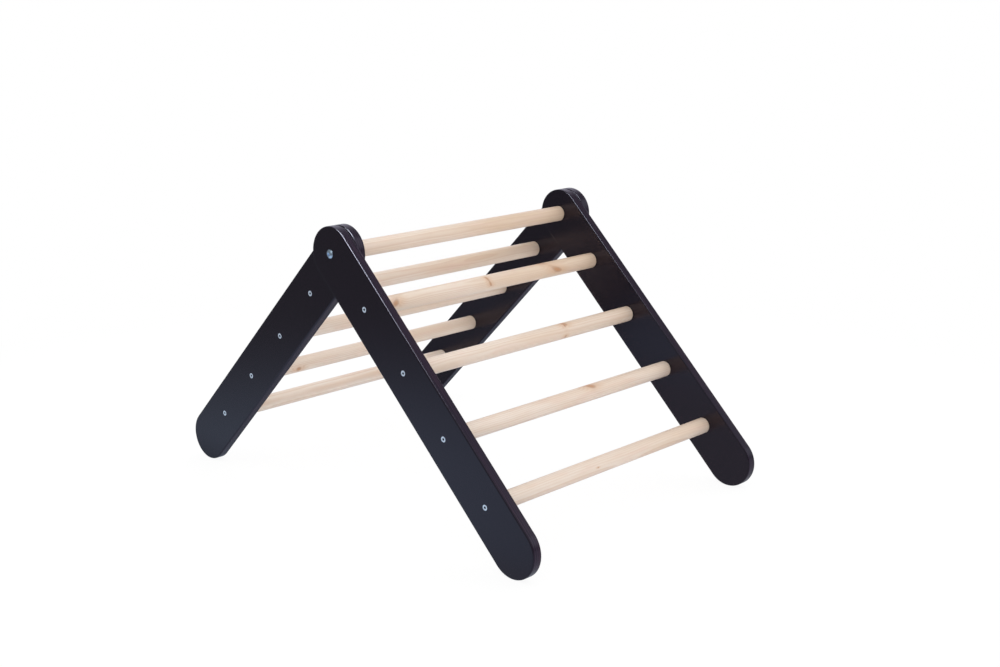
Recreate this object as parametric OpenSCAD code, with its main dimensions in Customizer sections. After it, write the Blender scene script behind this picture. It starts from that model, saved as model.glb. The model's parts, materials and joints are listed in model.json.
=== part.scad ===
// Folding climbing triangle for small children.
// Two identical ladders lean against each other and turn on one pair of pivot bolts at the top.
// Each ladder has two painted plywood rails with round ends and four pine rungs between them.
// The ladders are staggered sideways by one rail, so on each side one rail runs inside the other.
// A fifth pine rung lies on the pivot axis, between the two inner rails.
//
// Millimetres, Z up, rungs along X, front ladder towards -Y.
// The origin is on the floor, under the middle of the pivot axis.

/* [Rails] */
// Width of a rail, and so the diameter of its round ends
rail_w = 90; // [70:1:110]
// Thickness of the plywood
rail_t = 18; // [15:0.5:21]
// Distance from the pivot to the centre of a rail's round foot
rail_reach = 566; // [540:1:700]
// Radius of the rounded edges of a rail
edge_r = 2.5; // [1:0.25:4]

/* [Rungs] */
// Diameter of a rung
rung_d = 28; // [25:0.5:35]
// Length of a ladder's rungs, from rail to rail
rung_span = 540; // [400:1:700]
// Distance from the pivot to the first rung of a ladder
first_rung = 113; // [105:1:125]
// Distance from one rung to the next
rung_pitch = 125; // [100:1:135]
// Width of the bevel round the ends of a rung
rung_bevel = 1.5; // [0.5:0.25:3]

/* [Stance] */
// Angle between the two ladders when the triangle stands in use
opening = 90; // [70:1:100]

/* [Rung screws] */
// Diameter of the flat countersunk head
screw_head_d = 9.5; // [9:0.5:12]
// Height of the straight rim round the head
screw_rim_h = 0.6; // [0.3:0.1:1]
// Diameter of the smooth shoulder, which fills the hole in the rail
screw_shoulder_d = 7; // [6.5:0.25:8]
// Diameter of the thread, which bites in the end of the rung
screw_thread_d = 6; // [4:0.25:6.25]
// Length of the whole screw
screw_l = 50; // [40:1:70]
// Width across the flats of the key's hexagon in the head
screw_key = 4; // [3:0.5:5]
// Depth of the key's hexagon
screw_key_depth = 2.6; // [1.5:0.1:3]
// How far the pilot hole in a rung runs past the point of the screw
pilot_extra = 2; // [1:0.5:5]

/* [Hinge] */
// Diameter of the pivot bolts
bolt_d = 8; // [6:0.5:10]
// Diameter of the flange under the domed head
bolt_flange_d = 15; // [14.5:0.5:18]
// Thickness of that flange
bolt_flange_t = 1; // [0.6:0.1:1.5]
// Diameter of the dome where it meets the flange
bolt_dome_d = 14; // [11:0.25:14.25]
// Height of the dome above the flange
bolt_dome_h = 2.6; // [1.8:0.1:3]
// Diameter of the flat top of the dome
bolt_top_d = 7.6; // [7:0.1:9]
// Width across the flats of the key's hexagon in the bolt
bolt_key = 5; // [4:0.5:5.5]
// Depth of the key's hexagon in the bolt
bolt_key_depth = 2.8; // [2:0.1:4]
// Length of thread that the bolt has in its insert
bolt_bite = 13; // [8:0.5:15]
// Diameter of the threaded insert in each end of the top rung
insert_d = 14; // [12:0.5:16]
// Length of the threaded insert
insert_l = 18; // [16:0.5:25]
// Diameter of the nylon washer between two rails
washer_d = 24; // [18:0.5:30]
// Thickness of the nylon washer
washer_t = 0.8; // [0.5:0.1:2]

/* [Clearances] */
// Gap between flat faces that slide past each other at the pivot
play = 0.1; // [0.05:0.05:0.3]
// Gap round the pivot bolt in the rails and washers
bolt_clear = 0.05; // [0.02:0.01:0.1]
// Gap round a screw, bolt thread or insert in its own hole
fixed_clear = 0.05; // [0.01:0.01:0.1]

/* [Hidden] */
$fn = 96;

// Sides of a ladder, looked at from its own front
LEFT = -1;
RIGHT = 1;

rail_gap = washer_t + 2 * play;                 // between the two rails of one side
stagger = (rail_t + rail_gap) / 2;              // of each ladder, sideways from the middle
pivot_z = rail_reach * cos(opening / 2) + rail_w / 2;
inner_x = rung_span / 2 - stagger;              // inner face of the inner rails
outer_x = rung_span / 2 + stagger + rail_t;     // outer face of the outer rails
stations = [for (i = [0:3]) first_rung + i * rung_pitch];
cut = 1;                                        // how far a cutting tool runs past a face

paint = [0.13, 0.12, 0.15];
pine = [0.88, 0.78, 0.67];
zinc = [0.72, 0.76, 0.80];
steel = [0.62, 0.60, 0.55];
nylon = [0.90, 0.90, 0.87];

// ---- where the pieces go ----

// Hangs its children, drawn straight down from the pivot axis, as the front ladder
module front() {
    translate([-stagger, 0, 0]) at_pivot() rotate([-opening / 2, 0, 0]) children();
}

// The rear ladder is the front one turned half round
module rear() {
    rotate([0, 0, 180]) front() children();
}

module at_pivot() {
    translate([0, 0, pivot_z]) children();
}

// Turns what is drawn with Z outwards and -Y down the rail to face one side, at distance x
module facing(side, x) {
    translate([side * x, 0, 0]) rotate([90, 0, side * 90]) children();
}

// ---- rails ----

// Half of a rail's cross-section, from its centreline to its rounded edge
module half_section() {
    square([rail_w / 2 - edge_r, rail_t]);
    translate([0, edge_r]) square([rail_w / 2, rail_t - 2 * edge_r]);
    for (y = [edge_r, rail_t - edge_r])
        translate([rail_w / 2 - edge_r, y]) circle(edge_r);
}

// A rail before drilling, on its back: pivot at the origin, foot towards -Y
module rail_blank() {
    rotate([90, 0, 0]) linear_extrude(rail_reach) {
        half_section();
        mirror([1, 0]) half_section();
    }
    for (y = [0, -rail_reach])
        translate([0, y, 0]) rotate_extrude() half_section();
}

module rail(side) {
    color(paint) facing(side, rung_span / 2) difference() {
        rail_blank();
        translate([0, 0, -cut]) cylinder(d = bolt_d + 2 * bolt_clear, h = rail_t + 2 * cut);
        for (s = stations)
            translate([0, -s, rail_t]) screw_hole();
    }
}

// ---- rungs ----

// A round pine bar along X with bevelled ends, drilled at both ends
module rung(length, bore_d, bore_depth) {
    color(pine) difference() {
        translate([-length / 2, 0, 0]) rotate([0, 90, 0]) rotate_extrude() polygon([
            [0, 0], [rung_d / 2 - rung_bevel, 0], [rung_d / 2, rung_bevel],
            [rung_d / 2, length - rung_bevel], [rung_d / 2 - rung_bevel, length], [0, length]
        ]);
        for (side = [LEFT, RIGHT])
            facing(side, length / 2 - bore_depth) cylinder(d = bore_d, h = bore_depth + cut);
    }
}

module ladder_rung(number) {
    translate([0, 0, -stations[number - 1]])
        rung(rung_span, screw_thread_d + 2 * fixed_clear, screw_l - rail_t + pilot_extra);
}

module top_rung() {
    at_pivot() rung(2 * (inner_x - play), insert_d + 2 * fixed_clear, insert_l);
}

// ---- rung screws ----

// Half outline of a screw's countersunk head and shoulder, wider by grow all round
function head_and_shoulder(grow, top, bottom) = let (
    head_r = screw_head_d / 2 + grow,
    shoulder_r = screw_shoulder_d / 2 + grow
) [
    [0, top], [head_r, top], [head_r, -screw_rim_h],
    [shoulder_r, -screw_rim_h - head_r + shoulder_r], [shoulder_r, bottom]
];

// A screw with its head's face at the origin and its point towards -Z
module screw() {
    thread_r = screw_thread_d / 2;
    difference() {
        rotate_extrude() polygon(concat(
            head_and_shoulder(0, 0, -rail_t),
            [[thread_r, -rail_t], [thread_r, -screw_l], [0, -screw_l]]
        ));
        hex_socket(screw_key, screw_key_depth);
    }
}

// The countersunk hole that a screw's head and shoulder fill in a rail
module screw_hole() {
    bottom = -rail_t - cut;
    rotate_extrude() polygon(concat(head_and_shoulder(fixed_clear, cut, bottom), [[0, bottom]]));
}

// The hexagon that a key fits, sunk below the origin
module hex_socket(across_flats, depth) {
    translate([0, 0, -depth])
        cylinder(d = across_flats / cos(30), h = depth + cut, $fn = 6);
}

// The four screws through one rail
module screws(side) {
    color(zinc) facing(side, rung_span / 2 + rail_t)
        for (s = stations)
            translate([0, -s, 0]) screw();
}

// ---- hinge ----

// The domed part of a bolt's head: a slice of a ball, from its widest ring to its flat top
module bolt_dome() {
    foot_r = bolt_dome_d / 2;
    top_r = bolt_top_d / 2;
    ball_drop = (foot_r^2 - top_r^2 - bolt_dome_h^2) / (2 * bolt_dome_h);
    intersection() {
        translate([0, 0, -ball_drop]) sphere(sqrt(foot_r^2 + ball_drop^2));
        cylinder(d = bolt_flange_d, h = bolt_dome_h);
    }
}

// A flanged bolt with a domed head, through both rails into the top rung
module pivot_bolt(side) {
    shank_l = outer_x - inner_x + 2 * play + bolt_bite;
    color(zinc) at_pivot() facing(side, outer_x + play) difference() {
        union() {
            translate([0, 0, -shank_l]) cylinder(d = bolt_d, h = shank_l + bolt_flange_t);
            cylinder(d = bolt_flange_d, h = bolt_flange_t);
            translate([0, 0, bolt_flange_t]) bolt_dome();
        }
        translate([0, 0, bolt_flange_t + bolt_dome_h]) hex_socket(bolt_key, bolt_key_depth);
    }
}

// The nylon washer that keeps the paint of two rails apart
module pivot_washer(side) {
    color(nylon) at_pivot() facing(side, inner_x + rail_t + play) difference() {
        cylinder(d = washer_d, h = washer_t);
        translate([0, 0, -cut]) cylinder(d = bolt_d + 2 * bolt_clear, h = washer_t + 2 * cut);
    }
}

// The threaded steel insert in one end of the top rung
module rung_insert(side) {
    color(steel) at_pivot() facing(side, inner_x - play - insert_l) difference() {
        cylinder(d = insert_d, h = insert_l);
        translate([0, 0, -cut]) cylinder(d = bolt_d + 2 * fixed_clear, h = insert_l + 2 * cut);
    }
}

// ---- the assembly ----

front() rail(LEFT);  // front_rail_left
front() rail(RIGHT);  // front_rail_right
rear() rail(RIGHT);  // rear_rail_left
rear() rail(LEFT);  // rear_rail_right
top_rung();
front() ladder_rung(1);  // front_rung_1
front() ladder_rung(2);  // front_rung_2
front() ladder_rung(3);  // front_rung_3
front() ladder_rung(4);  // front_rung_4
rear() ladder_rung(1);  // rear_rung_1
rear() ladder_rung(2);  // rear_rung_2
rear() ladder_rung(3);  // rear_rung_3
rear() ladder_rung(4);  // rear_rung_4
front() screws(LEFT);  // front_screws_left
front() screws(RIGHT);  // front_screws_right
rear() screws(RIGHT);  // rear_screws_left
rear() screws(LEFT);  // rear_screws_right
pivot_bolt(LEFT);  // pivot_bolt_left
pivot_bolt(RIGHT);  // pivot_bolt_right
pivot_washer(LEFT);  // pivot_washer_left
pivot_washer(RIGHT);  // pivot_washer_right
rung_insert(LEFT);  // rung_insert_left
rung_insert(RIGHT);  // rung_insert_right
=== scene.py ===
import json
import math

import bmesh
import bpy
from mathutils import Matrix, Quaternion, Vector


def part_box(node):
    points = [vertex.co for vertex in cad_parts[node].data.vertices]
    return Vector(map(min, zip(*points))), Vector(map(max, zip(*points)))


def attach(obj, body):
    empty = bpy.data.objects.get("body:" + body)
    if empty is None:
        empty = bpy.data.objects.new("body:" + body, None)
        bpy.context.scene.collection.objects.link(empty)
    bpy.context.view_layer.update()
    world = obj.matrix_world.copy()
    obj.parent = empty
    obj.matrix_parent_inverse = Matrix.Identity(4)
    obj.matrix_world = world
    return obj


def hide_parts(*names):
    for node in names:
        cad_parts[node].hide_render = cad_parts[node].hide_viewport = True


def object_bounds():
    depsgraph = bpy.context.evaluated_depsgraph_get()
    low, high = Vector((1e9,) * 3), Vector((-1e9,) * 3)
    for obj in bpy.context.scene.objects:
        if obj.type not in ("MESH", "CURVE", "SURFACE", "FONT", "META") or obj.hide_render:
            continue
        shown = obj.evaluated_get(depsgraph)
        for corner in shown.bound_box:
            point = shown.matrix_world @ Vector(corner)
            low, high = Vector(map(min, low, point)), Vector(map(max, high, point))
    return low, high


# Folding climbing triangle: the surfaces of its rails, rungs and fittings, in metres, round the
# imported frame. X runs along the rungs, the front ladder lies towards -Y, and Z is up.
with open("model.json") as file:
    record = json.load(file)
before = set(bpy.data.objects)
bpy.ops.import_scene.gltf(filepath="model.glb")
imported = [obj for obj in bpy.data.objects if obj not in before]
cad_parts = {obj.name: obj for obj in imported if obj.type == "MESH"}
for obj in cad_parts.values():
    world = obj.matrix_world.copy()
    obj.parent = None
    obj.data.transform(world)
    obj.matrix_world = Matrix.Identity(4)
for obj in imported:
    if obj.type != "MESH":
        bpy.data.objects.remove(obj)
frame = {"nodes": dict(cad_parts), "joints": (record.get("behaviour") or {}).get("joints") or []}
cad_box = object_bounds()
pivot = Vector(frame["joints"][0]["pos_m"])


# ---- Rails ----
# Four alike rails, sawn from 18 mm plywood with fully round ends, then drilled, rounded along
# the edges and sanded, and stained a satin violet black. Nine plies show faintly round the
# edge: the stain sinks deeper into the end grain, and each glue line leaves a fine groove.

SIDES = {"left": -1, "right": 1}
LADDERS = {"front": -1, "rear": 1}
PLIES = 9
EDGE_ROUND = 0.0025
EDGE_ROUND_STEPS = 7
GLUE_LINE_DEPTH = 0.00006
GLUE_LINE_HALF = 0.0003
END_STEPS = 56
SIDE_STEPS = 14
HOLE_STEPS = 48
HOLE_LIP = 0.00015
SCREW_HEAD_HOLE_R = 0.0048
SCREW_SHOULDER_HOLE_R = 0.00355
SCREW_RIM = 0.0006
PIVOT_HOLE_R = 0.00405
RAIL_SHARP_ANGLE = 40

STAIN_DARK = (0.0046, 0.0015, 0.0040)
STAIN_PALE = (0.0060, 0.0021, 0.0054)
STAIN_SHEEN = (0.90, 0.82, 0.98)
CUT_LONG_GRAIN = (0.0190, 0.0086, 0.0235)
CUT_END_GRAIN = (0.0060, 0.0026, 0.0074)
CUT_STREAK = (0.040, 0.016, 0.030)

MM_PER_M = 1000

# A Mix node has sockets for each kind of data. These are the two colours it mixes, and its result.
MIX_COLOURS = (6, 7)
MIX_RESULT = 2


class Socket:
    """A socket of a material's, the world's or a lamp's nodes. Arithmetic on it adds Math nodes."""

    def __init__(self, tree, output=None):
        self.tree = tree
        self.output = output

    def __getitem__(self, name):
        return Socket(self.tree, self.output.node.outputs[name])

    def node(self, kind, settings=None, inputs=None):
        """Adds a node: its settings are set first, then the values or links of its sockets."""
        made = self.tree.nodes.new("ShaderNode" + kind)
        for name, value in (settings or {}).items():
            setattr(made, name, value)
        for name, value in (inputs or {}).items():
            if isinstance(value, Socket):
                self.tree.links.new(value.output, made.inputs[name])
            else:
                made.inputs[name].default_value = value
        return Socket(self.tree, made.outputs[0] if made.outputs else None)

    def math(self, operation, *values):
        return self.node("Math", {"operation": operation}, dict(enumerate((self, *values))))

    def __add__(self, other):
        return self.math("ADD", other)

    def __sub__(self, other):
        return self.math("SUBTRACT", other)

    def __rsub__(self, other):
        return self.math("MULTIPLY_ADD", -1.0, other)

    def __mul__(self, other):
        return self.math("MULTIPLY", other)

    def __truediv__(self, other):
        return self.math("DIVIDE", other)

    __radd__ = __add__
    __rmul__ = __mul__


def new_material(name):
    """An empty material, and the socket from which its nodes are made."""
    material = bpy.data.materials.new(name)
    material.use_nodes = True
    material.node_tree.nodes.clear()
    return material, Socket(material.node_tree)


def own_millimetres(nodes, axes):
    """The place on a piece, counted in millimetres along the piece's own axes."""
    return nodes.node("Mapping", {"vector_type": "TEXTURE"}, {
        "Vector": nodes.node("TexCoord")["Object"],
        "Location": axes.translation,
        "Rotation": axes.to_euler(),
        "Scale": (1 / MM_PER_M, 1 / MM_PER_M, 1 / MM_PER_M),
    })


def step(value, low, high):
    """0 below low and 1 above high, with a smooth rise between them."""
    smooth = {"interpolation_type": "SMOOTHSTEP"}
    return value.node("MapRange", smooth, {"Value": value, "From Min": low, "From Max": high})


def mix(first, second, share):
    """A colour on the way from the first to the second."""
    inputs = {0: share}
    for slot, colour in zip(MIX_COLOURS, (first, second)):
        inputs[slot] = colour if isinstance(colour, Socket) else (*colour, 1)
    return share.node("Mix", {"data_type": "RGBA"}, inputs)[MIX_RESULT]


def noise(place, waves, seed, detail=3.0):
    """Noise with this many waves in a millimetre along each axis."""
    squeezed = place.node("VectorMath", {"operation": "MULTIPLY"}, {0: place, 1: waves})
    return place.node(
        "TexNoise",
        {"noise_dimensions": "4D"},
        {"Vector": squeezed, "W": seed, "Scale": 1.0, "Detail": detail},
    )


def finish(nodes, relief, strength, depth, values):
    """Ends a material with a shader that has these values, over a relief of this depth."""
    bump = nodes.node("Bump", {}, {"Strength": strength, "Distance": depth, "Height": relief})
    shader = nodes.node("BsdfPrincipled", {}, {**values, "Normal": bump})
    nodes.node("OutputMaterial", {}, {"Surface": shader})


def stain(name, axes, thickness, seed):
    """Satin violet-black stain, which shows paler and browner on the cut plies."""
    material, nodes = new_material(name)
    place = own_millimetres(nodes, axes)
    depth = nodes.node("SeparateXYZ", {}, {0: place})["Z"]
    thick = thickness * MM_PER_M
    from_face = depth.math("MINIMUM", thick - depth)
    cut_edge = step(from_face, 0.2, 2.4)

    ply = depth * (PLIES / thick)
    pair = (ply * 0.5).math("FRACT")
    end_grain = step((pair * 2 - 1).math("ABSOLUTE"), 0.38, 0.62)
    ply_tone = nodes.node(
        "TexWhiteNoise", {"noise_dimensions": "1D"}, {"W": ply.math("FLOOR") + seed}
    )

    veneer = noise(place, (0.05, 1.6, 0.5), seed, 4.0)
    cloud = noise(place, (0.012, 0.05, 0.05), seed + 9, 2.0)
    streak = noise(place, (0.010, 0.010, 0.42), seed + 5, 2.0)

    face = mix(STAIN_DARK, STAIN_PALE, veneer * 0.4 + cloud * 0.6)
    cut = mix(CUT_LONG_GRAIN, CUT_END_GRAIN, end_grain * 0.5 + ply_tone * 0.4)
    cut = mix(cut, CUT_STREAK, step(streak, 0.45, 0.70) * 0.55)

    finish(nodes, veneer * 0.4 + streak * cut_edge, 0.12, 0.00006, {
        "Base Color": mix(face, cut, cut_edge),
        "Roughness": 0.21 + veneer * 0.05 - cut_edge * 0.01,
        "Specular Tint": (*STAIN_SHEEN, 1),
    })
    return material


def rail_axes(ladder, side):
    """A rail's own axes, X down it from the pivot and Z out of its inner face, and its sizes."""
    low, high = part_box(f"{ladder}_rail_{side}")
    radius = high.z - pivot.z
    foot_y = low.y + radius if ladder == "front" else high.y - radius
    down = Vector((0, foot_y, low.z + radius)) - Vector((0, pivot.y, pivot.z))
    outward = Vector((SIDES[side], 0, 0))
    along = down.normalized()
    axes = Matrix((along, outward.cross(along), outward)).transposed().to_4x4()
    axes.translation = (low.x if side == "right" else high.x, pivot.y, pivot.z)
    return axes, down.length, radius, high.x - low.x


def rung_stations(ladder):
    """How far down the rails each rung of a ladder is."""
    for number in range(1, 5):
        low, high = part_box(f"{ladder}_rung_{number}")
        middle = (low + high) / 2
        yield math.hypot(middle.y - pivot.y, middle.z - pivot.z)


def outline(length, radius, height):
    """Points round a rail: two half circles, joined by straight sides."""
    points = []
    for centre, start, travel in ((0, 90, length), (length, -90, -length)):
        for turn in range(END_STEPS + 1):
            angle = math.radians(start + 180 * turn / END_STEPS)
            points.append((centre + radius * math.cos(angle), radius * math.sin(angle), height))
        side_y = points[-1][1]
        for part in range(1, SIDE_STEPS):
            points.append((centre + travel * part / SIDE_STEPS, side_y, height))
    return points


def quarter_round(size, steps):
    """Steps round a rounded edge, from a face to the side below it: (how far in, how far down)."""
    quarter = []
    for turn in range(steps + 1):
        angle = math.radians(90 * turn / steps)
        quarter.append((size * (1 - math.sin(angle)), size * (1 - math.cos(angle))))
    return quarter


def edge_profile(thickness):
    """Steps round a rail's edge, from one face to the other: (how far in, height)."""
    quarter = quarter_round(EDGE_ROUND, EDGE_ROUND_STEPS)
    grooves = []
    for line in range(1, PLIES):
        middle = thickness * line / PLIES
        if EDGE_ROUND < middle - GLUE_LINE_HALF and middle + GLUE_LINE_HALF < thickness - EDGE_ROUND:
            grooves += [
                (0, middle - GLUE_LINE_HALF),
                (GLUE_LINE_DEPTH, middle),
                (0, middle + GLUE_LINE_HALF),
            ]
    far_quarter = [(inset, thickness - height) for inset, height in reversed(quarter)]
    return quarter + grooves + far_quarter


def skin(bm, rings):
    """Joins each ring of vertices to the next one with faces."""
    for ring, following in zip(rings, rings[1:]):
        for here in range(len(ring)):
            near = here - 1
            bm.faces.new((ring[near], ring[here], following[here], following[near]))


def flat_face(bm, rings):
    """A flat face inside the first ring, open inside the others."""
    edges = [bm.edges.get(pair) for ring in rings for pair in zip(ring, ring[1:] + ring[:1])]
    bmesh.ops.triangle_fill(bm, use_beauty=True, edges=edges)


def hole(bm, distance, steps):
    """The wall of a hole through a rail, as rings of vertices."""
    rings = []
    for radius, height in steps:
        ring = []
        for turn in range(HOLE_STEPS):
            angle = math.tau * turn / HOLE_STEPS
            point = (distance + radius * math.cos(angle), radius * math.sin(angle), height)
            ring.append(bm.verts.new(point))
        rings.append(ring)
    skin(bm, rings)
    return rings


def new_piece(bm, name, axes, material, sharp_angle):
    """Turns a bmesh that was drawn on these axes into a piece in the frame's own axes."""
    bm.transform(axes)
    bmesh.ops.recalc_face_normals(bm, faces=bm.faces)
    mesh = bpy.data.meshes.new(name)
    bm.to_mesh(mesh)
    bm.free()
    mesh.shade_smooth()
    mesh.set_sharp_from_angle(angle=math.radians(sharp_angle))
    mesh.materials.append(material)
    piece = bpy.data.objects.new(name, mesh)
    bpy.context.scene.collection.objects.link(piece)
    weighted = piece.modifiers.new("even_normals", "WEIGHTED_NORMAL")
    weighted.keep_sharp = True
    return piece


def make_rail(ladder, side, seed):
    axes, length, radius, thickness = rail_axes(ladder, side)
    bm = bmesh.new()
    shell = []
    for inset, height in edge_profile(thickness):
        points = outline(length, radius - inset, height)
        shell.append([bm.verts.new(point) for point in points])
    skin(bm, shell)

    countersunk = [
        (SCREW_SHOULDER_HOLE_R, 0),
        (SCREW_SHOULDER_HOLE_R, thickness - SCREW_RIM - SCREW_HEAD_HOLE_R + SCREW_SHOULDER_HOLE_R),
        (SCREW_HEAD_HOLE_R, thickness - SCREW_RIM),
        (SCREW_HEAD_HOLE_R, thickness - HOLE_LIP),
        (SCREW_HEAD_HOLE_R + HOLE_LIP, thickness),
    ]
    plain = [
        (PIVOT_HOLE_R + HOLE_LIP, 0),
        (PIVOT_HOLE_R, HOLE_LIP),
        (PIVOT_HOLE_R, thickness - HOLE_LIP),
        (PIVOT_HOLE_R + HOLE_LIP, thickness),
    ]
    holes = [hole(bm, 0, plain)]
    holes += [hole(bm, station, countersunk) for station in rung_stations(ladder)]
    flat_face(bm, [shell[0]] + [rings[0] for rings in holes])
    flat_face(bm, [shell[-1]] + [rings[-1] for rings in holes])

    name = f"{ladder}_{side}_rail"
    wood = stain(f"stain_{name}", axes, thickness, seed)
    rail = new_piece(bm, name, axes, wood, RAIL_SHARP_ANGLE)
    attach(rail, f"{ladder}_frame")
    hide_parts(f"{ladder}_rail_{side}")


for ladder in LADDERS:
    for side in SIDES:
        seed = 20 * LADDERS[ladder] + 7 * SIDES[side]
        make_rail(ladder, side, seed)


# ---- Rungs ----
# Nine round bars of pine, turned to 28 mm from planks, with a sanded bevel at both ends and a
# thin matt varnish. Growth rings run along them as soft tan bands, and a few have small knots.

RUNG_BEVEL = 0.0015
BEVEL_STEPS = 5
RUNG_STEPS = 72
RUNG_PARTS = 18
SCREW_BORE_R = 0.00305
SCREW_BORE_DEPTH = 0.034
INSERT_BORE_R = 0.00705
INSERT_BORE_DEPTH = 0.018
RUNG_SHARP_ANGLE = 50

PINE_PALE = (0.912, 0.785, 0.680)
PINE_FULL = (0.877, 0.715, 0.585)
PINE_WARM = (0.770, 0.550, 0.365)
PINE_BLUSH = (0.860, 0.640, 0.525)
LATE_WOOD = (0.715, 0.485, 0.345)
FIBRE = (0.750, 0.545, 0.405)
PORE = (0.620, 0.430, 0.305)
KNOT_HALO = (0.735, 0.455, 0.275)
KNOT_CORE = (0.560, 0.255, 0.115)
KNOT_RIM = (0.330, 0.150, 0.075)

# How far the growth rings sway from straight along a rung, in mm.
GRAIN_SWAY = 15.0

# Each rung's log: its heart across and above the rung, in mm, the width of a growth ring in mm,
# how much warmer its wood gets towards the right end, and its knots. A knot runs right through
# the rung: where it comes out at either side is given as a distance from the middle, in mm, and
# an angle from the back of the rung over the top. The last number of a knot is its radius.
WOOD = {
    "top_rung": ((-44, 16), 3.0, 0.70, []),
    "front_rung_1": ((-40, 52), 2.6, 0.65, [
        (-232, 167, -216, 60, 3.9),
        (-18, 126, -13, 178, 1.8),
        (160, 177, 122, 75, 4.1),
    ]),
    "front_rung_2": ((60, 24), 3.4, 0.32, [
        (88, 109, 78, 40, 3.2),
        (84, 211, 86, 124, 1.8),
    ]),
    "front_rung_3": ((26, 66), 3.2, 0.10, [(56, 105, 42, 40, 4.6)]),
    "front_rung_4": ((-70, -35), 3.8, 0.30, [(-38, 168, -30, -30, 1.0)]),
    "rear_rung_1": ((-58, 30), 2.9, 0.42, [(142, 30, 120, -80, 3.2)]),
    "rear_rung_2": ((46, 56), 3.1, 0.30, []),
    "rear_rung_3": ((-50, -40), 2.6, 0.30, [(-191, 200, -205, 20, 3.4)]),
    "rear_rung_4": ((80, -24), 4.0, 0, []),
}


def surface_point(radius, along, angle):
    """A point on a rung, in mm on its own axes, with Z along it."""
    turn = math.radians(angle)
    return Vector((radius * math.cos(turn), radius * math.sin(turn), along))


def from_knot(place, radius, knot, squeeze):
    """How far a point is from a knot's middle line, with the rung squeezed lengthwise."""
    shrink = Vector((1, 1, squeeze))
    start = surface_point(radius, *knot[0:2]) * shrink
    course = (surface_point(radius, *knot[2:4]) * shrink - start).normalized()
    narrow = place.node("VectorMath", {"operation": "MULTIPLY"}, {0: place, 1: shrink})
    offset = place.node("VectorMath", {"operation": "SUBTRACT"}, {0: narrow, 1: start})
    across = place.node("VectorMath", {"operation": "CROSS_PRODUCT"}, {0: offset, 1: course})
    return place.node("VectorMath", {"operation": "LENGTH"}, {0: across})["Value"]


def pine(name, axes, radius, log, seed):
    """Pale pine under matt varnish, cut from a log whose heart lies outside the rung."""
    heart, ring_width, warmth, knots = log
    material, nodes = new_material(name)
    place = own_millimetres(nodes, axes)
    own = nodes.node("SeparateXYZ", {}, {0: place})
    fibre = noise(place, (1.5, 1.5, 0.02), seed, 3.0)
    pores = noise(place, (4.0, 4.0, 0.12), seed + 3, 2.0)
    region = noise(place, (0.06, 0.06, 0.008), seed + 6, 2.0)
    blush = noise(place, (0.10, 0.10, 0.014), seed + 21, 2.0)
    bend = noise(place, (0.004, 0.004, 0.0045), seed + 12, 1.0)
    sway = noise(place, (0.004, 0.004, 0.0045), seed + 15, 1.0)

    across = own["X"] - heart[0] + (bend - 0.5) * GRAIN_SWAY
    above = own["Y"] - heart[1] + (sway - 0.5) * GRAIN_SWAY
    from_heart = (across * across + above * above).math("SQRT") + fibre * 0.5
    halo = region * 0
    core = region * 0
    rim = region * 0
    for knot in knots:
        size = knot[4]
        ragged = from_knot(place, radius, knot, 0.8) + (pores - 0.5) * 0.8
        wide = from_knot(place, radius, knot, 0.36) + (region - 0.5) * 3
        glow = 1 - step(wide, size * 0.4, size * 3.0)
        halo = halo.math("MAXIMUM", glow)
        core = core.math("MAXIMUM", 1 - step(ragged, size * 0.45, size * 1.15))
        rim = rim.math("MAXIMUM", step(ragged, size * 0.5, size * 0.95)
                       * (1 - step(ragged, size * 0.95, size * 1.5)))
        from_heart = from_heart + glow * glow * (size * 1.5)

    year = from_heart / ring_width
    ring = year.math("FRACT")
    year_tone = nodes.node(
        "TexWhiteNoise", {"noise_dimensions": "1D"}, {"W": year.math("FLOOR") + seed}
    )
    late_wood = step(ring, 0.2, 0.84) * (1 - step(ring, 0.86, 1.0))

    rightwards = step(own["Z"] + region * 80, -40, 130) * 0.65 + 0.35
    colour = mix(PINE_PALE, PINE_FULL, step(region, 0.35, 0.65))
    colour = mix(colour, PINE_WARM, rightwards * warmth)
    colour = mix(colour, PINE_BLUSH, step(blush, 0.5, 0.72) * 0.6)
    colour = mix(colour, LATE_WOOD, late_wood * (0.16 + year_tone * 0.36))
    colour = mix(colour, FIBRE, step(fibre, 0.5, 0.72) * 0.26)
    colour = mix(colour, PORE, step(pores, 0.6, 0.78) * 0.12)
    colour = mix(colour, KNOT_HALO, halo * 0.60)
    colour = mix(colour, KNOT_CORE, core * 0.78)
    colour = mix(colour, KNOT_RIM, rim * 0.30)

    finish(nodes, fibre * 0.5 + pores * 0.3 + late_wood * 0.4, 0.3, 0.00006, {
        "Base Color": colour,
        "Roughness": 0.42 + fibre * 0.12 - core * 0.1,
        "Coat Weight": 0.5,
        "Coat Roughness": 0.35,
    })
    return material


def turned(bm, profile, steps, place=Matrix.Identity(4)):
    """A body turned about Z from a profile of (radius, height). A radius may vary with the angle."""
    rings = []
    for radius, height in profile:
        ring = []
        for turn in range(steps if radius else 1):
            angle = math.tau * turn / steps
            reach = radius(angle) if callable(radius) else radius
            point = Vector((reach * math.cos(angle), reach * math.sin(angle), height))
            ring.append(bm.verts.new(place @ point))
        rings.append(ring)
    for ring, following in zip(rings, rings[1:]):
        for here in range(steps):
            near = here - 1
            if len(ring) == 1:
                bm.faces.new((ring[0], following[here], following[near]))
            elif len(following) == 1:
                bm.faces.new((ring[near], ring[here], following[0]))
            else:
                bm.faces.new((ring[near], ring[here], following[here], following[near]))


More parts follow.
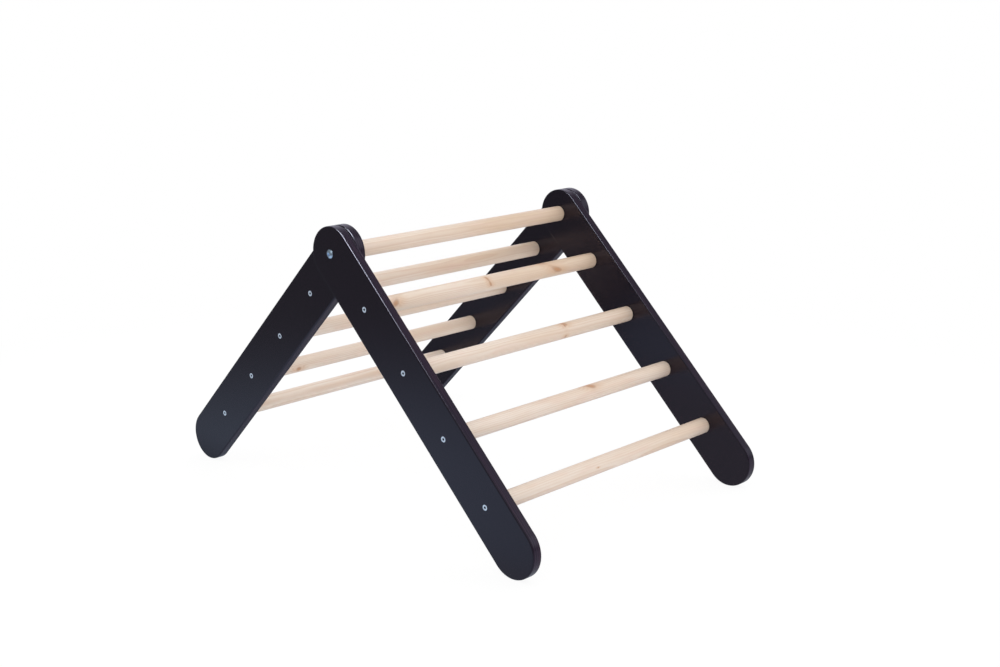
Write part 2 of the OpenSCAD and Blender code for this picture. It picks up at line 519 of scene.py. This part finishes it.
def rung_profile(length, radius, bore_r, bore_depth):
    """A rung's profile: a bore at each end, a rounded bevel, and the long side in parts."""
    half = length / 2
    end = [(0, bore_depth), (bore_r, bore_depth), (bore_r, 0)]
    end += [(radius - inset, height) for inset, height in quarter_round(RUNG_BEVEL, BEVEL_STEPS)]
    side = length - 2 * RUNG_BEVEL
    middle = [(radius, RUNG_BEVEL + side * part / RUNG_PARTS - half) for part in range(1, RUNG_PARTS)]
    first = [(reach, height - half) for reach, height in end]
    last = [(reach, half - height) for reach, height in reversed(end)]
    return first + middle + last


def make_rung(node, body, bore_r, bore_depth, seed):
    low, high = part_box(node)
    radius = (high.z - low.z) / 2
    axes = Matrix(((0, 0, 1), (1, 0, 0), (0, 1, 0))).to_4x4()
    axes.translation = (low + high) / 2
    wood = pine(f"pine_{node}", axes, radius * MM_PER_M, WOOD[node], seed)
    bm = bmesh.new()
    turned(bm, rung_profile(high.x - low.x, radius, bore_r, bore_depth), RUNG_STEPS)
    rung = new_piece(bm, f"{node}_bar", axes, wood, RUNG_SHARP_ANGLE)
    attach(rung, body)
    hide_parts(node)


for ladder in LADDERS:
    for number in range(1, 5):
        seed = 11.3 * number + 40 * LADDERS[ladder]
        make_rung(f"{ladder}_rung_{number}", f"{ladder}_frame", SCREW_BORE_R, SCREW_BORE_DEPTH, seed)
make_rung("top_rung", "front_frame", INSERT_BORE_R, INSERT_BORE_DEPTH, 3.7)


# ---- Rung screws ----
# Sixteen zinc-plated countersunk screws with a hexagon socket, four through each rail into the
# ends of its rungs. Their heads lie flush with the stained face, and their rims are rounded.

SCREW_STEPS = 48
SCREW_HEAD_R = 0.00475
SCREW_SHOULDER_R = 0.0035
SCREW_THREAD_R = 0.003
SCREW_LENGTH = 0.050
SCREW_ARRIS = 0.00045
ARRIS_STEPS = 4
SCREW_KEY = 0.004
SCREW_KEY_DEPTH = 0.0026
SOCKET_CHAMFER = 0.0002
SCREW_TURN = 37
METAL_SHARP_ANGLE = 30

# The radius of a hexagon socket's drilled floor and the depth of its point, for a key 1 wide.
DRILL_R = 0.42
DRILL_POINT = 0.12

ZINC_DULL = (0.52, 0.61, 0.74)
ZINC_BRIGHT = (0.67, 0.74, 0.84)


def zinc(name, axes, face, socket_r, inside, metal, inside_metal):
    """
    Bluish zinc plating with a soft grain from the barrel, and another colour inside the socket that
    is painted light: painted shade where it is dark, a painted reflection where it is pale.
    Without a socket_r, all that lies below the face counts as inside.
    """
    material, nodes = new_material(name)
    place = own_millimetres(nodes, axes)
    own = nodes.node("SeparateXYZ", {}, {0: place})
    # The socket, which gets the painted colour instead of the plating.
    painted_socket = step(face * MM_PER_M - own["Z"], 0.1, 1.1)
    if socket_r:
        rim = socket_r * MM_PER_M
        reach = (own["X"] * own["X"] + own["Y"] * own["Y"]).math("SQRT")
        painted_socket = painted_socket * (1 - step(reach, rim, rim + 0.2))
    grain = noise(place, (2.0, 2.0, 2.0), 2.0, 4.0)
    tone = noise(place, (0.5, 0.5, 0.5), 8.0, 2.0)
    finish(nodes, grain, 0.12, 0.00005, {
        "Base Color": mix(mix(ZINC_DULL, ZINC_BRIGHT, tone), inside, painted_socket),
        "Roughness": 0.18 + grain * 0.14 + painted_socket * 0.2,
        "Metallic": painted_socket * (inside_metal - metal) + metal,
    })
    return material


def hexagon(across_flats):
    """The reach of a hexagon by angle, for a turned profile."""
    sixth = math.tau / 6
    return lambda angle: across_flats / 2 / math.cos(angle % sixth - sixth / 2)


def key_socket(across_flats, depth, mouth):
    """The profile of a hexagon socket, from its drilled floor to its chamfered mouth."""
    corner = across_flats / math.sqrt(3)
    return [
        (0, mouth - depth - across_flats * DRILL_POINT),
        (across_flats * DRILL_R, mouth - depth),
        (hexagon(across_flats), mouth - depth),
        (hexagon(across_flats), mouth - SOCKET_CHAMFER),
        (corner + SOCKET_CHAMFER, mouth),
    ]


def arris(radius, face, size):
    """A rounded outer edge, from a flat face to a straight side below it."""
    return [(radius - inset, face - drop) for inset, drop in quarter_round(size, ARRIS_STEPS)]


def screw_profile(face):
    """A countersunk screw's profile, from its socket to its point."""
    rim_foot = face - SCREW_RIM
    return key_socket(SCREW_KEY, SCREW_KEY_DEPTH, face) + arris(SCREW_HEAD_R, face, SCREW_ARRIS) + [
        (SCREW_HEAD_R, rim_foot),
        (SCREW_SHOULDER_R, rim_foot - SCREW_HEAD_R + SCREW_SHOULDER_R),
        (SCREW_SHOULDER_R, 0),
        (SCREW_THREAD_R, 0),
        (SCREW_THREAD_R, face - SCREW_LENGTH + SCREW_THREAD_R),
        (0, face - SCREW_LENGTH),
    ]


for ladder in LADDERS:
    for side in SIDES:
        axes, *_, thickness = rail_axes(ladder, side)
        bm = bmesh.new()
        for number, station in enumerate(rung_stations(ladder)):
            turn = Matrix.Rotation(math.radians(SCREW_TURN * number), 4, "Z")
            seat = Matrix.Translation((station, 0, 0)) @ turn
            turned(bm, screw_profile(thickness), SCREW_STEPS, seat)
        name = f"{ladder}_{side}_rung_screws"
        # The near-black colour inside the screws' sockets is painted shade in the recess.
        plating = zinc(
            f"zinc_{name}", axes, face=thickness, socket_r=None,
            inside=(0.05, 0.06, 0.08), metal=0.35, inside_metal=0.9,
        )
        screws = new_piece(bm, name, axes, plating, METAL_SHARP_ANGLE)
        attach(screws, f"{ladder}_frame")
        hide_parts(f"{ladder}_screws_{side}")


# ---- Hinge ----
# On each side a flanged bolt with a domed head runs through both rails and a nylon washer, into
# a threaded insert in the end of the top rung. Bolt and insert are zinc-plated steel.

BOLT_STEPS = 72
BOLT_SHANK_R = 0.004
BOLT_CHAMFER = 0.0008
FLANGE_R = 0.0075
FLANGE_T = 0.001
FLANGE_ARRIS = 0.0003
DOME_FOOT_R = 0.007
DOME_TOP_R = 0.0038
DOME_HEIGHT = 0.0026
DOME_PARTS = 8
BOLT_KEY = 0.005
BOLT_KEY_DEPTH = 0.0028


def bolt_profile(shank_length):
    """A flanged bolt's profile, with the flange's seat at height 0."""
    top = FLANGE_T + DOME_HEIGHT
    drop = (DOME_FOOT_R ** 2 - DOME_TOP_R ** 2 - DOME_HEIGHT ** 2) / (2 * DOME_HEIGHT)
    ball = math.hypot(DOME_FOOT_R, drop)
    dome = []
    for part in range(DOME_PARTS + 1):
        height = DOME_HEIGHT * (1 - part / DOME_PARTS)
        dome.append((math.sqrt(ball ** 2 - (drop + height) ** 2), FLANGE_T + height))
    return key_socket(BOLT_KEY, BOLT_KEY_DEPTH, top) + dome + [
        *arris(FLANGE_R, FLANGE_T, FLANGE_ARRIS),
        (FLANGE_R, FLANGE_ARRIS),
        (FLANGE_R - FLANGE_ARRIS, 0),
        (BOLT_SHANK_R, 0),
        (BOLT_SHANK_R, BOLT_CHAMFER - shank_length),
        (BOLT_SHANK_R - BOLT_CHAMFER, -shank_length),
        (0, -shank_length),
    ]


for side in SIDES:
    low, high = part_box(f"pivot_bolt_{side}")
    outward = Vector((SIDES[side], 0, 0))
    head_height = FLANGE_T + DOME_HEIGHT
    axes = outward.to_track_quat("Z", "Y").to_matrix().to_4x4()
    tip_x = low.x if side == "left" else high.x
    axes.translation = (tip_x - SIDES[side] * head_height, pivot.y, pivot.z)
    bm = bmesh.new()
    turned(bm, bolt_profile(high.x - low.x - head_height), BOLT_STEPS)
    name = f"{side}_pivot_bolt"
    # The pale blue inside the bolt's socket, with little metal, is a painted reflection.
    plating = zinc(
        f"zinc_{name}", axes, face=head_height, socket_r=BOLT_KEY / math.sqrt(3),
        inside=(0.50, 0.66, 0.86), metal=1.0, inside_metal=0.2,
    )
    bolt = new_piece(bm, name, axes, plating, METAL_SHARP_ANGLE)
    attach(bolt, "front_frame")
    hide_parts(f"pivot_bolt_{side}")


def hidden_finish(name, dark, pale, metallic, roughness):
    """A mottled finish for the small parts inside the hinge."""
    material, nodes = new_material(name)
    place = own_millimetres(nodes, Matrix.Identity(4))
    mottle = noise(place, (0.5, 0.5, 0.5), 4.0, 3.0)
    grain = noise(place, (2.5, 2.5, 2.5), 6.0, 2.0)
    finish(nodes, grain, 0.15, 0.00005, {
        "Base Color": mix(dark, pale, mottle),
        "Roughness": roughness + grain * 0.12,
        "Metallic": metallic,
    })
    return material


nylon = hidden_finish(
    "natural_nylon", dark=(0.76, 0.76, 0.70), pale=(0.84, 0.84, 0.79), metallic=0.0, roughness=0.42
)
passivated = hidden_finish(
    "yellow_zinc", dark=(0.52, 0.46, 0.33), pale=(0.66, 0.60, 0.46), metallic=1.0, roughness=0.28
)
for side in SIDES:
    for node, coating in ((f"pivot_washer_{side}", nylon), (f"rung_insert_{side}", passivated)):
        materials = frame["nodes"][node].data.materials
        materials.clear()
        materials.append(coating)


# ---- Floor and backdrop ----
# A pale floor that reaches the horizon. The camera sees it white, with the object's soft shadow,
# and other surfaces get its bounce with a slightly cool painted glow added. Gloss sees only a
# painted glow on it: a painted pool of daylight at the object's left, and painted shade under the
# object, darkest towards the rear ladder.

FLOOR_R = 30.0
FLOOR_WHITE = (0.97, 0.97, 0.97)
PAINTED_COOL_GLOW = (0.06, 0.10, 0.15)
SHADOW_SHARE = 0.10
SHADOW_FADE = (0.8, 1.5)
SHADOW_DEPTH = 0.8
PAINTED_POOL_COLOUR = (0.52, 0.67, 0.84)
PAINTED_POOL_MIDDLE = (-0.35, 0.10, 0)
PAINTED_POOL_FADE = (0.1, 1.3)
PAINTED_SHADE_SIDE = (-0.40, -0.20)
PAINTED_FAR_COLOUR = (0.19, 0.21, 0.23)
PAINTED_SHADE_FRONT_COLOUR = (0.43, 0.455, 0.50)
PAINTED_SHADE_REAR_COLOUR = (0.22, 0.26, 0.31)
PAINTED_SHADE_FADE = (0.0, 0.25)

floor_finish, nodes = new_material("pale_floor")
own = nodes.node("TexCoord")["Object"]
out = nodes.node("VectorMath", {"operation": "LENGTH"}, {0: own})["Value"]
tooth = nodes.node("TexNoise", {}, {"Vector": own, "Scale": 300.0})
bump = nodes.node("Bump", {}, {"Strength": 0.05, "Distance": 0.0002, "Height": tooth})
paper = nodes.node("BsdfDiffuse", {}, {"Color": (*FLOOR_WHITE, 1), "Normal": bump})
# The paper's slightly cool glow is painted light, added to its real bounce.
painted_cool_glow = nodes.node("Emission", {}, {"Color": (*PAINTED_COOL_GLOW, 1)})
lit_paper = nodes.node("AddShader", {}, {0: paper, 1: painted_cool_glow})

# Gloss sees a painted glow here: a painted pool of daylight that fades far out, and painted shade
# under the object.
from_painted_pool = nodes.node("VectorMath", {"operation": "DISTANCE"}, {0: own, 1: PAINTED_POOL_MIDDLE})["Value"]
painted_daylight = mix(PAINTED_POOL_COLOUR, PAINTED_FAR_COLOUR, step(from_painted_pool, *PAINTED_POOL_FADE))
spot = nodes.node("SeparateXYZ", {}, {0: own})
under = mix(PAINTED_SHADE_FRONT_COLOUR, PAINTED_SHADE_REAR_COLOUR, step(spot["Y"], *PAINTED_SHADE_FADE))
painted_daylight = mix(painted_daylight, under, step(spot["X"], *PAINTED_SHADE_SIDE))
painted_floor_glow = nodes.node("Emission", {}, {"Color": painted_daylight})

share = (1 - step(out, *SHADOW_FADE)) * SHADOW_SHARE
shaded = nodes.node("BsdfDiffuse", {}, {"Color": mix((0, 0, 0), (1, 1, 1), share)})
glow = nodes.node("Emission", {}, {"Color": (1, 1, 1, 1), "Strength": 1 - share * SHADOW_DEPTH})
seen = nodes.node("AddShader", {}, {0: shaded, 1: glow})

light_path = nodes.node("LightPath")
unseen = nodes.node("MixShader", {}, {0: light_path["Is Glossy Ray"], 1: lit_paper, 2: painted_floor_glow})
surface = nodes.node("MixShader", {}, {0: light_path["Is Camera Ray"], 1: unseen, 2: seen})
nodes.node("OutputMaterial", {}, {"Surface": surface})

bm = bmesh.new()
bmesh.ops.create_circle(bm, cap_ends=True, segments=96, radius=FLOOR_R)
mesh = bpy.data.meshes.new("floor")
bm.to_mesh(mesh)
bm.free()
mesh.materials.append(floor_finish)
floor = bpy.data.objects.new("floor", mesh)
floor.location.z = cad_box[0].z
bpy.context.scene.collection.objects.link(floor)


# ---- Light ----
# A studio dome that is brightest overhead. Gloss sees it as a dim room, with a pale wall behind
# the object, a window in front and a ceiling at the left. Only gloss sees the softbox overhead,
# which fades towards the front and draws the thin highlight along the near front rail.

DOME_LOW = (0.72, 0.72, 0.73)
DOME_HIGH = (1.15, 1.15, 1.15)
ROOM_COLOUR = (0.18, 0.21, 0.22)
WALL_COLOUR = (0.72, 0.72, 0.85)
WALL_FADE = (0.75, 1.25)
WINDOW = (0.62, -0.62, 0.48)
WINDOW_COLOUR = (0.77, 0.88, 0.92)
WINDOW_FADE = (0.91, 0.985)
CEILING = (-0.45, -0.50, 0.74)
CEILING_COLOUR = (0.52, 0.60, 0.64)
CEILING_FADE = (0.74, 0.97)
SOFTBOX_COLOUR = (0.85, 0.97, 1.0)
SOFTBOX_AT = Vector((-0.25, -0.20, 1.40))
SOFTBOX_BACK = Vector((0, -0.25, 0.95))
SOFTBOX_SIZE = (0.50, 1.20)
SOFTBOX_FADE = (-0.80, -0.28)
SOFTBOX_SPREAD = math.radians(80)
SOFTBOX_RADIANCE = 7.0

scene = bpy.context.scene
world = bpy.data.worlds.new("studio")
scene.world = world
world.use_nodes = True
world.node_tree.nodes.clear()
nodes = Socket(world.node_tree)
direction = nodes.node("TexCoord")["Generated"]
toward = nodes.node("SeparateXYZ", {}, {0: direction})
overhead = step(toward["Z"] + toward["X"] * 0.35, -0.2, 1.1)
dome = nodes.node("Background", {}, {"Color": mix(DOME_LOW, DOME_HIGH, overhead)})
room = mix(ROOM_COLOUR, WALL_COLOUR, step(toward["X"] + toward["Y"], *WALL_FADE))
for middle, colour, fade in (
    (WINDOW, WINDOW_COLOUR, WINDOW_FADE),
    (CEILING, CEILING_COLOUR, CEILING_FADE),
):
    near = nodes.node("VectorMath", {"operation": "DOT_PRODUCT"}, {0: direction, 1: middle})["Value"]
    room = mix(room, colour, step(near, *fade))
dome_sheen = nodes.node("Background", {}, {"Color": room})
backdrop = nodes.node("Background", {}, {"Color": (1, 1, 1, 1)})
light_path = nodes.node("LightPath")
unseen = nodes.node("MixShader", {}, {0: light_path["Is Glossy Ray"], 1: dome, 2: dome_sheen})
sky = nodes.node("MixShader", {}, {0: light_path["Is Camera Ray"], 1: unseen, 2: backdrop})
nodes.node("OutputWorld", {}, {"Surface": sky})

softbox = bpy.data.lights.new("softbox", "AREA")
softbox.shape = "RECTANGLE"
softbox.size, softbox.size_y = SOFTBOX_SIZE
softbox.energy = SOFTBOX_RADIANCE * math.pi * SOFTBOX_SIZE[0] * SOFTBOX_SIZE[1]
softbox.spread = SOFTBOX_SPREAD
softbox.use_nodes = True
softbox.node_tree.nodes.clear()
nodes = Socket(softbox.node_tree)
place = nodes.node("SeparateXYZ", {}, {0: nodes.node("NewGeometry")["Position"]})
faded = mix((0, 0, 0), SOFTBOX_COLOUR, step(place["Y"], *SOFTBOX_FADE))
tube = nodes.node("Emission", {}, {"Color": faded})
nodes.node("OutputLight", {}, {"Surface": tube})
lamp = bpy.data.objects.new("softbox", softbox)
lamp.location = SOFTBOX_AT
lamp.rotation_euler = SOFTBOX_BACK.to_track_quat("Z", "Y").to_euler()
lamp.visible_camera = False
lamp.visible_diffuse = False
scene.collection.objects.link(lamp)


# ---- Camera ----
# The photograph's viewpoint, from the front left and a little above the top rung. The angles,
# the distance and the lens come from fitting the rails and rung ends to the photograph.

AZIMUTH = math.radians(-46.20)
ELEVATION = math.radians(13.945)
ROLL = math.radians(-0.312)
DISTANCE = 2.5953
LENS = 50.62
AIM = Vector((0.0976, 0, pivot.z - 0.2045))

back = Vector((
    math.sin(AZIMUTH) * math.cos(ELEVATION),
    -math.cos(AZIMUTH) * math.cos(ELEVATION),
    math.sin(ELEVATION),
))
view = bpy.data.cameras.new("viewpoint")
view.sensor_fit = "HORIZONTAL"
view.sensor_width = 36
view.lens = LENS
camera = bpy.data.objects.new("viewpoint", view)
camera.rotation_mode = "QUATERNION"
camera.location = AIM + back * DISTANCE
camera.rotation_quaternion = (-back).to_track_quat("-Z", "Y") @ Quaternion((0, 0, 1), ROLL)
scene.collection.objects.link(camera)
scene.camera = camera
scene.view_settings.view_transform = "Standard"
